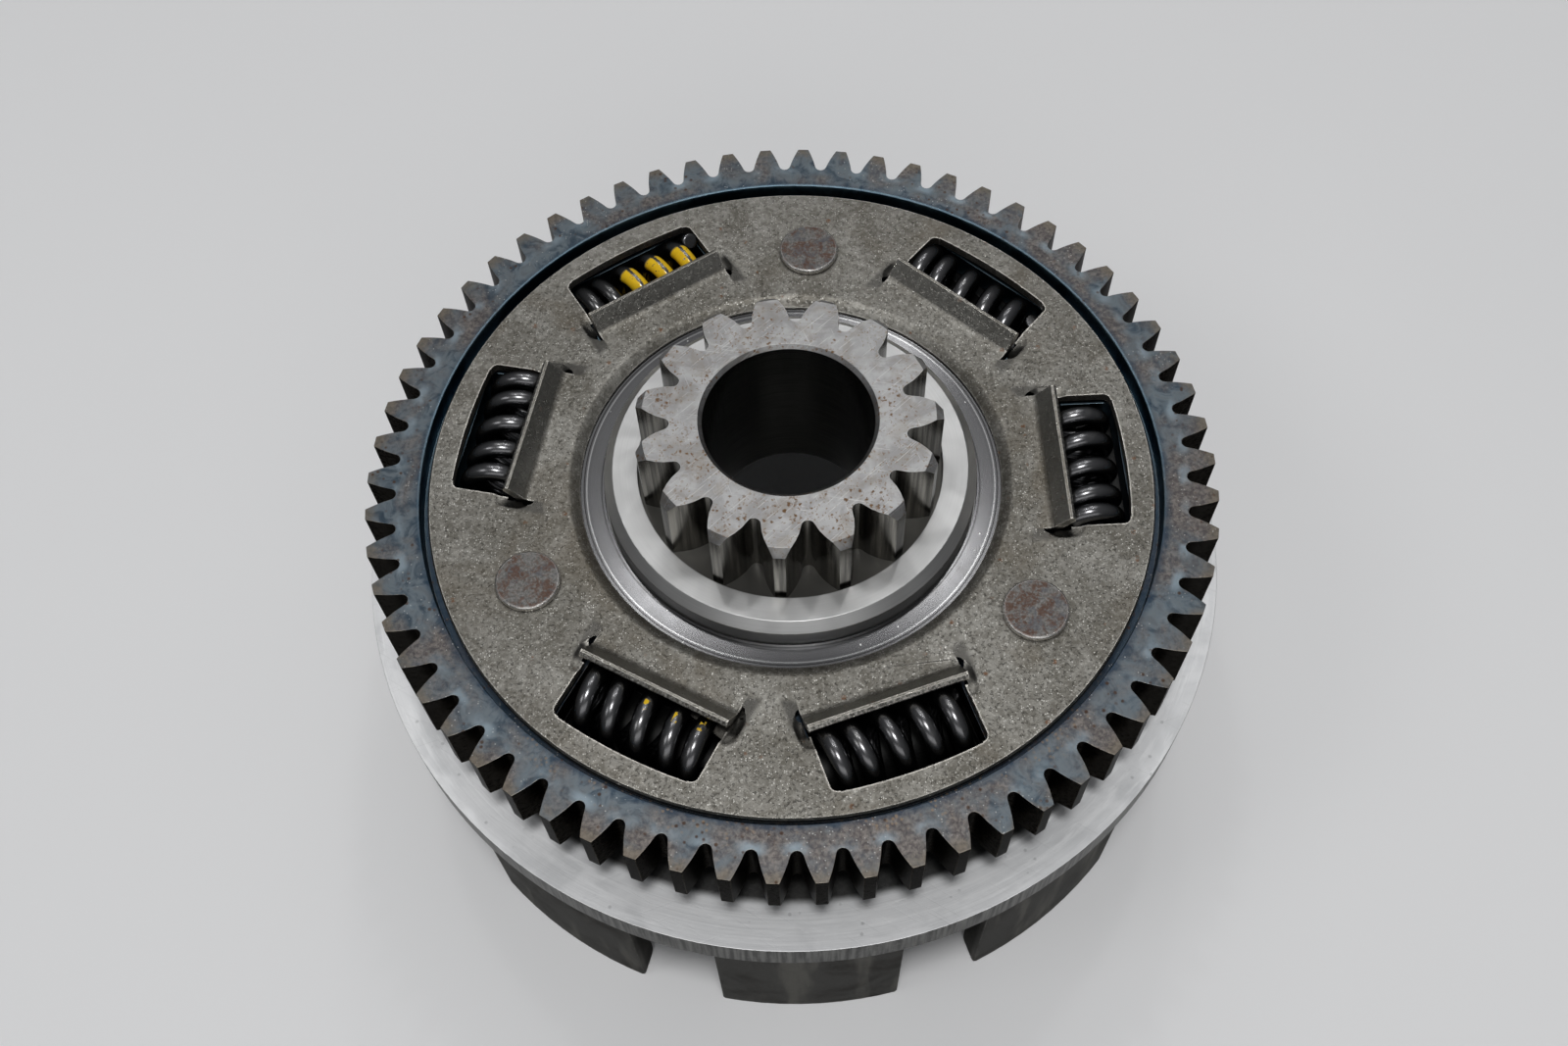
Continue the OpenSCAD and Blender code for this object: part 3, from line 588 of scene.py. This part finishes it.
def spring_look(name, painted):
    """Blackened spring wire, with marks as (start, end, kind) in millimetres along the spring."""
    look = Look(name)
    wire = look.node("ShaderNodeAttribute", {}, "Vector", attribute_name="wire_place")
    along, outward, side = look.split(wire)
    radius = look.radius()
    fine = look.noise(4.0, 4.0, 0.65)
    cloud = look.noise(0.5, 4.0, 0.6, 0.6)
    base = look.mix(fine, (0.130, 0.130, 0.135), (0.190, 0.190, 0.195))
    rub = look.both(look.fade(outward, 0.70, 0.98), look.fade(cloud, 0.50, 0.70))
    base = look.mix(look.times(rub, 0.5), base, (0.25, 0.246, 0.240))
    rough = look.add(0.19, look.times(cloud, 0.09))
    painted_share = 0.0
    for start, end, kind in painted:
        inside = look.both(look.math("GREATER_THAN", along, start),
                           look.math("LESS_THAN", along, end))
        if kind == "bare":
            base = look.mix(look.times(inside, 0.85), base, look.mix(fine, 0.06, 0.14))
            continue
        if kind == "band":
            stripe = look.math("ABSOLUTE", look.add(side, look.times(fine, 0.5), -0.20))
            cover = look.both(inside, look.fade(stripe, 0.12, 0.24),
                              look.fade(radius, SPRING_CIRCLE + 2.0, SPRING_CIRCLE + 1.4),
                              look.fade(look.noise(1.3, 3.0), 0.30, 0.38))
        else:
            cover = look.both(inside,
                              look.fade(radius, SPRING_CIRCLE - 2.0, SPRING_CIRCLE - 1.7),
                              look.fade(radius, SPRING_CIRCLE, SPRING_CIRCLE - 0.3),
                              look.fade(outward, 0.5, 0.6),
                              look.fade(look.math("ABSOLUTE", side), 0.32, 0.22),
                              look.fade(look.noise(0.85, 3.0, 0.6, 0.3), 0.45, 0.50))
        base = look.mix(cover, base, look.mix(cloud, (0.70, 0.42, 0.01), (0.92, 0.62, 0.03)))
        rough = look.blend(cover, rough, 0.35)
        painted_share = look.add(painted_share, cover)
    look.dull(0.15)
    if painted:
        look.put(look.shader.inputs["Metallic"], look.inverse(painted_share))
    height = look.add(look.times(fine, 0.1), look.times(cloud, 0.4))
    return look.finish(base, rough, height, 0.006)


# ---------------------------------------------------------------- mesh work on CAD nodes

# Edges that bend more than SHARP degrees are kept as edges: bevelled, and shaded sharp. Faces that
# bend less than FLAT degrees are joined, and points closer than WELD millimetres are one.
SHARP = 32
FLAT = 0.3
WELD = 0.002


def smooth_group():
    """Geometry nodes that shade smooth except across sharp edges."""
    tree = bpy.data.node_groups.new("smooth_by_angle", "GeometryNodeTree")
    for direction in ("INPUT", "OUTPUT"):
        tree.interface.new_socket("Geometry", in_out=direction, socket_type="NodeSocketGeometry")
    start, end = tree.nodes.new("NodeGroupInput"), tree.nodes.new("NodeGroupOutput")
    clear = tree.nodes.new("GeometryNodeRemoveAttribute")
    clear.inputs["Name"].default_value = "custom_normal"
    faces = tree.nodes.new("GeometryNodeSetShadeSmooth")
    faces.domain = "FACE"
    edges = tree.nodes.new("GeometryNodeSetShadeSmooth")
    edges.domain = "EDGE"
    edges.inputs["Shade Smooth"].default_value = False
    angle = tree.nodes.new("GeometryNodeInputMeshEdgeAngle")
    sharp = tree.nodes.new("FunctionNodeCompare")
    sharp.operation = "GREATER_THAN"
    sharp.inputs[1].default_value = math.radians(SHARP)
    tree.links.new(start.outputs[0], clear.inputs["Geometry"])
    tree.links.new(clear.outputs["Geometry"], faces.inputs["Geometry"])
    tree.links.new(faces.outputs["Geometry"], edges.inputs["Geometry"])
    tree.links.new(angle.outputs["Unsigned Angle"], sharp.inputs[0])
    tree.links.new(sharp.outputs[0], edges.inputs["Selection"])
    tree.links.new(edges.outputs["Geometry"], end.inputs[0])
    return tree


def soften(piece, width):
    """Rounds a CAD node's sharp edges by a width and smooths its curved faces, with modifiers."""
    weld = piece.modifiers.new("weld", "WELD")
    weld.merge_threshold = WELD * MM
    flat = piece.modifiers.new("flat", "DECIMATE")
    flat.decimate_type = "DISSOLVE"
    flat.angle_limit = math.radians(FLAT)
    bevel = piece.modifiers.new("bevel", "BEVEL")
    bevel.width = width * MM
    bevel.segments = 2
    bevel.limit_method = "ANGLE"
    bevel.angle_limit = math.radians(SHARP)
    bevel.use_clamp_overlap = True
    smooth = piece.modifiers.new("smooth", "NODES")
    smooth.node_group = SMOOTH
    weighted = piece.modifiers.new("weighted", "WEIGHTED_NORMAL")
    weighted.keep_sharp = True


def dress(piece, material):
    """Gives a piece one material."""
    piece.data.materials.clear()
    piece.data.materials.append(material)


# ---------------------------------------------------------------- springs

# The springs of the CAD model, in millimetres and degrees. Only the coil's radius is less than
# there, by 0.14, so that a spring stays clear of its window at the twist's limits.
WIRE = 2.8
COIL_RADIUS = 4.16
COIL_TRAVEL = 20.2
END_TURNS = 1
MIDDLE_TURNS = 3
TURNS = 2 * END_TURNS + MIDDLE_TURNS
END_PITCH = WIRE + 0.25
MIDDLE_PITCH = (COIL_TRAVEL - 2 * END_TURNS * END_PITCH) / MIDDLE_TURNS
SPRING_ROLLS = (270, 324, 126, 205, 101, 43)
WIRE_SIDES = 24
STEPS_PER_TURN = 48


def coil_distance(turn):
    """How far along its spring the wire has come after some turns."""
    if turn < END_TURNS:
        return turn * END_PITCH
    if turn < END_TURNS + MIDDLE_TURNS:
        return END_TURNS * END_PITCH + (turn - END_TURNS) * MIDDLE_PITCH
    return COIL_TRAVEL - (TURNS - turn) * END_PITCH


def coil_mesh(name, centre, outward, tangent, roll):
    """A closed tube along the spring's helix, with softly rounded cut ends. Roll is in degrees."""
    up = Vector((0, 0, 1))

    def middle(turn):
        """The way out of the coil and the middle of the wire, after some turns."""
        angle = math.radians(90 + roll + 360 * turn)
        out = outward * math.cos(angle) + up * math.sin(angle)
        place = out * COIL_RADIUS + tangent * (COIL_TRAVEL / 2 - coil_distance(turn))
        return out, centre + place * MM

    mesh = bmesh.new()
    places = {}
    rings = []
    # How far each rounded ring stands before the first full one, and its share of the radius.
    end_rounding = ((-0.30, 0.72), (-0.22, 0.90), (-0.10, 0.98))
    stations = [(0.0, shift, share) for shift, share in end_rounding]
    stations += [(k / STEPS_PER_TURN, 0.0, 1.0) for k in range(TURNS * STEPS_PER_TURN + 1)]
    stations += [(float(TURNS), -shift, share) for shift, share in reversed(end_rounding)]
    step = 0.25 / STEPS_PER_TURN
    for turn, shift, share in stations:
        out, point = middle(turn)
        before, after = middle(max(turn - step, 0))[1], middle(min(turn + step, TURNS))[1]
        ahead = (after - before).normalized()
        across = ahead.cross(out).normalized()
        out = across.cross(ahead).normalized()
        point = point + ahead * shift * MM
        ring = []
        for k in range(WIRE_SIDES):
            angle = 2 * math.pi * k / WIRE_SIDES
            facing, beside = math.cos(angle), math.sin(angle)
            reach = (out * facing + across * beside) * share * WIRE / 2
            vertex = mesh.verts.new(point + reach * MM)
            # The distance along the spring from its middle, and how far the point faces out
            # from the coil and along the spring.
            places[vertex] = (COIL_TRAVEL / 2 - coil_distance(turn), facing, beside)
            ring.append(vertex)
        rings.append(ring)
    for a, b in zip(rings, rings[1:]):
        for k in range(WIRE_SIDES):
            n = (k + 1) % WIRE_SIDES
            mesh.faces.new((a[k], a[n], b[n], b[k])).smooth = True
    mesh.faces.new(list(reversed(rings[0])))
    mesh.faces.new(rings[-1])
    bmesh.ops.recalc_face_normals(mesh, faces=mesh.faces)
    mesh.verts.index_update()
    data = bpy.data.meshes.new(name)
    ordered = [places[v] for v in mesh.verts]
    mesh.to_mesh(data)
    mesh.free()
    attribute = data.attributes.new("wire_place", "FLOAT_VECTOR", "POINT")
    attribute.data.foreach_set("vector", [c for place in ordered for c in place])
    piece = bpy.data.objects.new(name, data)
    bpy.context.scene.collection.objects.link(piece)
    return piece


def make_springs():
    """The six damper springs, each in the place of its CAD solid."""
    # Yellow bands, bare wire and yellow flecks. Their places are millimetres from the spring's
    # middle, towards larger bearings.
    paint = {
        2: [(-12.0, 3.2, "band"), (5.0, 12.0, "bare")],
        4: [(along - 0.5, along + 0.5, "fleck") for along in (9.8, 8.6, 4.8, 0.1)],
    }
    plain = spring_look("black_spring", [])
    for number in range(1, SPRING_COUNT + 1):
        side = -1 if number % 2 else 1
        bearing = math.radians(FIRST_RIVET + RIVET_PITCH * ((number - 1) // 2)
                               + side * WINDOW_OFFSET)
        outward = Vector((math.cos(bearing), math.sin(bearing), 0))
        tangent = Vector((-outward.y, outward.x, 0))
        centre = (outward * SPRING_CIRCLE + Vector((0, 0, SPRING_HEIGHT))) * MM
        piece = coil_mesh(f"spring_coil_{number}", centre, outward, tangent,
                          SPRING_ROLLS[number - 1])
        marks = paint.get(number)
        dress(piece, spring_look(f"painted_spring_{number}", marks) if marks else plain)
        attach(piece, "springs")
        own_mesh(piece)
        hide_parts(f"damper_spring_{number}")


# ---------------------------------------------------------------- stage

# The stage is in metres, watts and degrees, and each light is (place, size, power).
FLOOR_SIZE = 3.0
AIM = Vector((0, 0, 0.03))
WORLD_TINT = (0.95, 0.97, 1.0, 1.0)
WORLD_LOW, WORLD_HIGH = 0.09, 0.20
LIGHTS = {
    "overhead": ((0.0, -0.28, 1.28), (0.24, 0.18), 5.8),
    "back_soft": ((0.02, 0.66, 1.15), (0.9, 0.6), 1.3),
    "right_glare": ((0.19, 0.43, 1.0), (0.05, 0.08), 0.32),
    "left_glare": ((-0.16, 0.40, 1.0), (0.06, 0.06), 0.32),
    "far_glare": ((0.16, 0.86, 1.0), (0.06, 0.08), 0.30),
    "front_fill": ((0.0, -1.10, 0.75), (1.4, 0.5), 2.0),
    "left_fill": ((-0.9, -0.3, 1.15), (0.4, 0.4), 1.2),
}
CAMERA_PLACE = (-0.001259, -0.125255, 0.259755)
CAMERA_TILT = 29.72
CAMERA_ROLL = -2.404
CAMERA_LENS = 36.2


def floor_look():
    """Plain pale studio floor with the faintest unevenness."""
    look = Look("floor", 0.0)
    cloud = look.noise(0.01, 3.0)
    return look.finish(look.mix(cloud, (0.86, 0.86, 0.865), (0.89, 0.89, 0.895)), 0.75)


def make_floor():
    """The pale floor that the part stands on."""
    bpy.ops.mesh.primitive_plane_add(size=FLOOR_SIZE)
    floor = bpy.context.active_object
    floor.name = "floor"
    dress(floor, floor_look())


def area_light(name, place, size, power):
    """A rectangular soft light that points at the object."""
    data = bpy.data.lights.new(name, "AREA")
    data.shape = "RECTANGLE"
    data.size, data.size_y = size
    data.energy = power
    light = bpy.data.objects.new(name, data)
    light.location = place
    light.rotation_euler = (AIM - Vector(place)).to_track_quat("-Z", "Y").to_euler()
    bpy.context.scene.collection.objects.link(light)


def make_lights():
    """A pale world that is brighter overhead, and the soft lights."""
    world = bpy.data.worlds.new("world")
    bpy.context.scene.world = world
    world.use_nodes = True
    background = world.node_tree.nodes["Background"]
    sky = world.node_tree.nodes.new("ShaderNodeTexCoord")
    height = world.node_tree.nodes.new("ShaderNodeSeparateXYZ")
    level = world.node_tree.nodes.new("ShaderNodeMapRange")
    level.interpolation_type = "SMOOTHSTEP"
    level.inputs["From Min"].default_value = 0.1
    level.inputs["From Max"].default_value = 0.9
    level.inputs["To Min"].default_value = WORLD_LOW
    level.inputs["To Max"].default_value = WORLD_HIGH
    background.inputs["Color"].default_value = WORLD_TINT
    join = world.node_tree.links.new
    join(sky.outputs["Generated"], height.inputs[0])
    join(height.outputs["Z"], level.inputs["Value"])
    join(level.outputs["Result"], background.inputs["Strength"])
    for name, (place, size, power) in LIGHTS.items():
        area_light(name, place, size, power)


def make_camera():
    """The camera that the object is seen from: high in front, looking down at about 60 degrees."""
    data = bpy.data.cameras.new("camera")
    data.lens = CAMERA_LENS
    data.sensor_width = 36.0
    data.clip_start = 0.01
    camera = bpy.data.objects.new("camera", data)
    tilt = Matrix.Rotation(math.radians(CAMERA_TILT), 4, "X")
    roll = Matrix.Rotation(math.radians(CAMERA_ROLL), 4, "Z")
    camera.matrix_world = Matrix.Translation(CAMERA_PLACE) @ tilt @ roll
    bpy.context.scene.collection.objects.link(camera)
    bpy.context.scene.camera = camera


# ---------------------------------------------------------------- the object

SMOOTH = smooth_group()

make_camera()
make_lights()
make_floor()

# Each CAD node's material, and how far its sharp edges are rounded in millimetres.
rivet_steel = rivet_look()
finishes = {
    "clutch_basket": (aluminium_look(), 0.35),
    "basket_fingers": (finger_look(), 0.5),
    "retaining_plate": (plate_look(), 0.10),
    "rivet_1": (rivet_steel, 0.12),
    "rivet_2": (rivet_steel, 0.12),
    "rivet_3": (rivet_steel, 0.12),
    "primary_gear": (gear_look(), 0.14),
    "drive_pinion": (pinion_look(), 0.12),
    "cone_spring": (cone_look(), 0.08),
    "thrust_washer": (washer_look(), 0.08),
}
for name, (material, rounding) in finishes.items():
    dress(nodes[name], material)
    soften(nodes[name], rounding)
make_springs()

bpy.context.scene.view_settings.view_transform = "Standard"
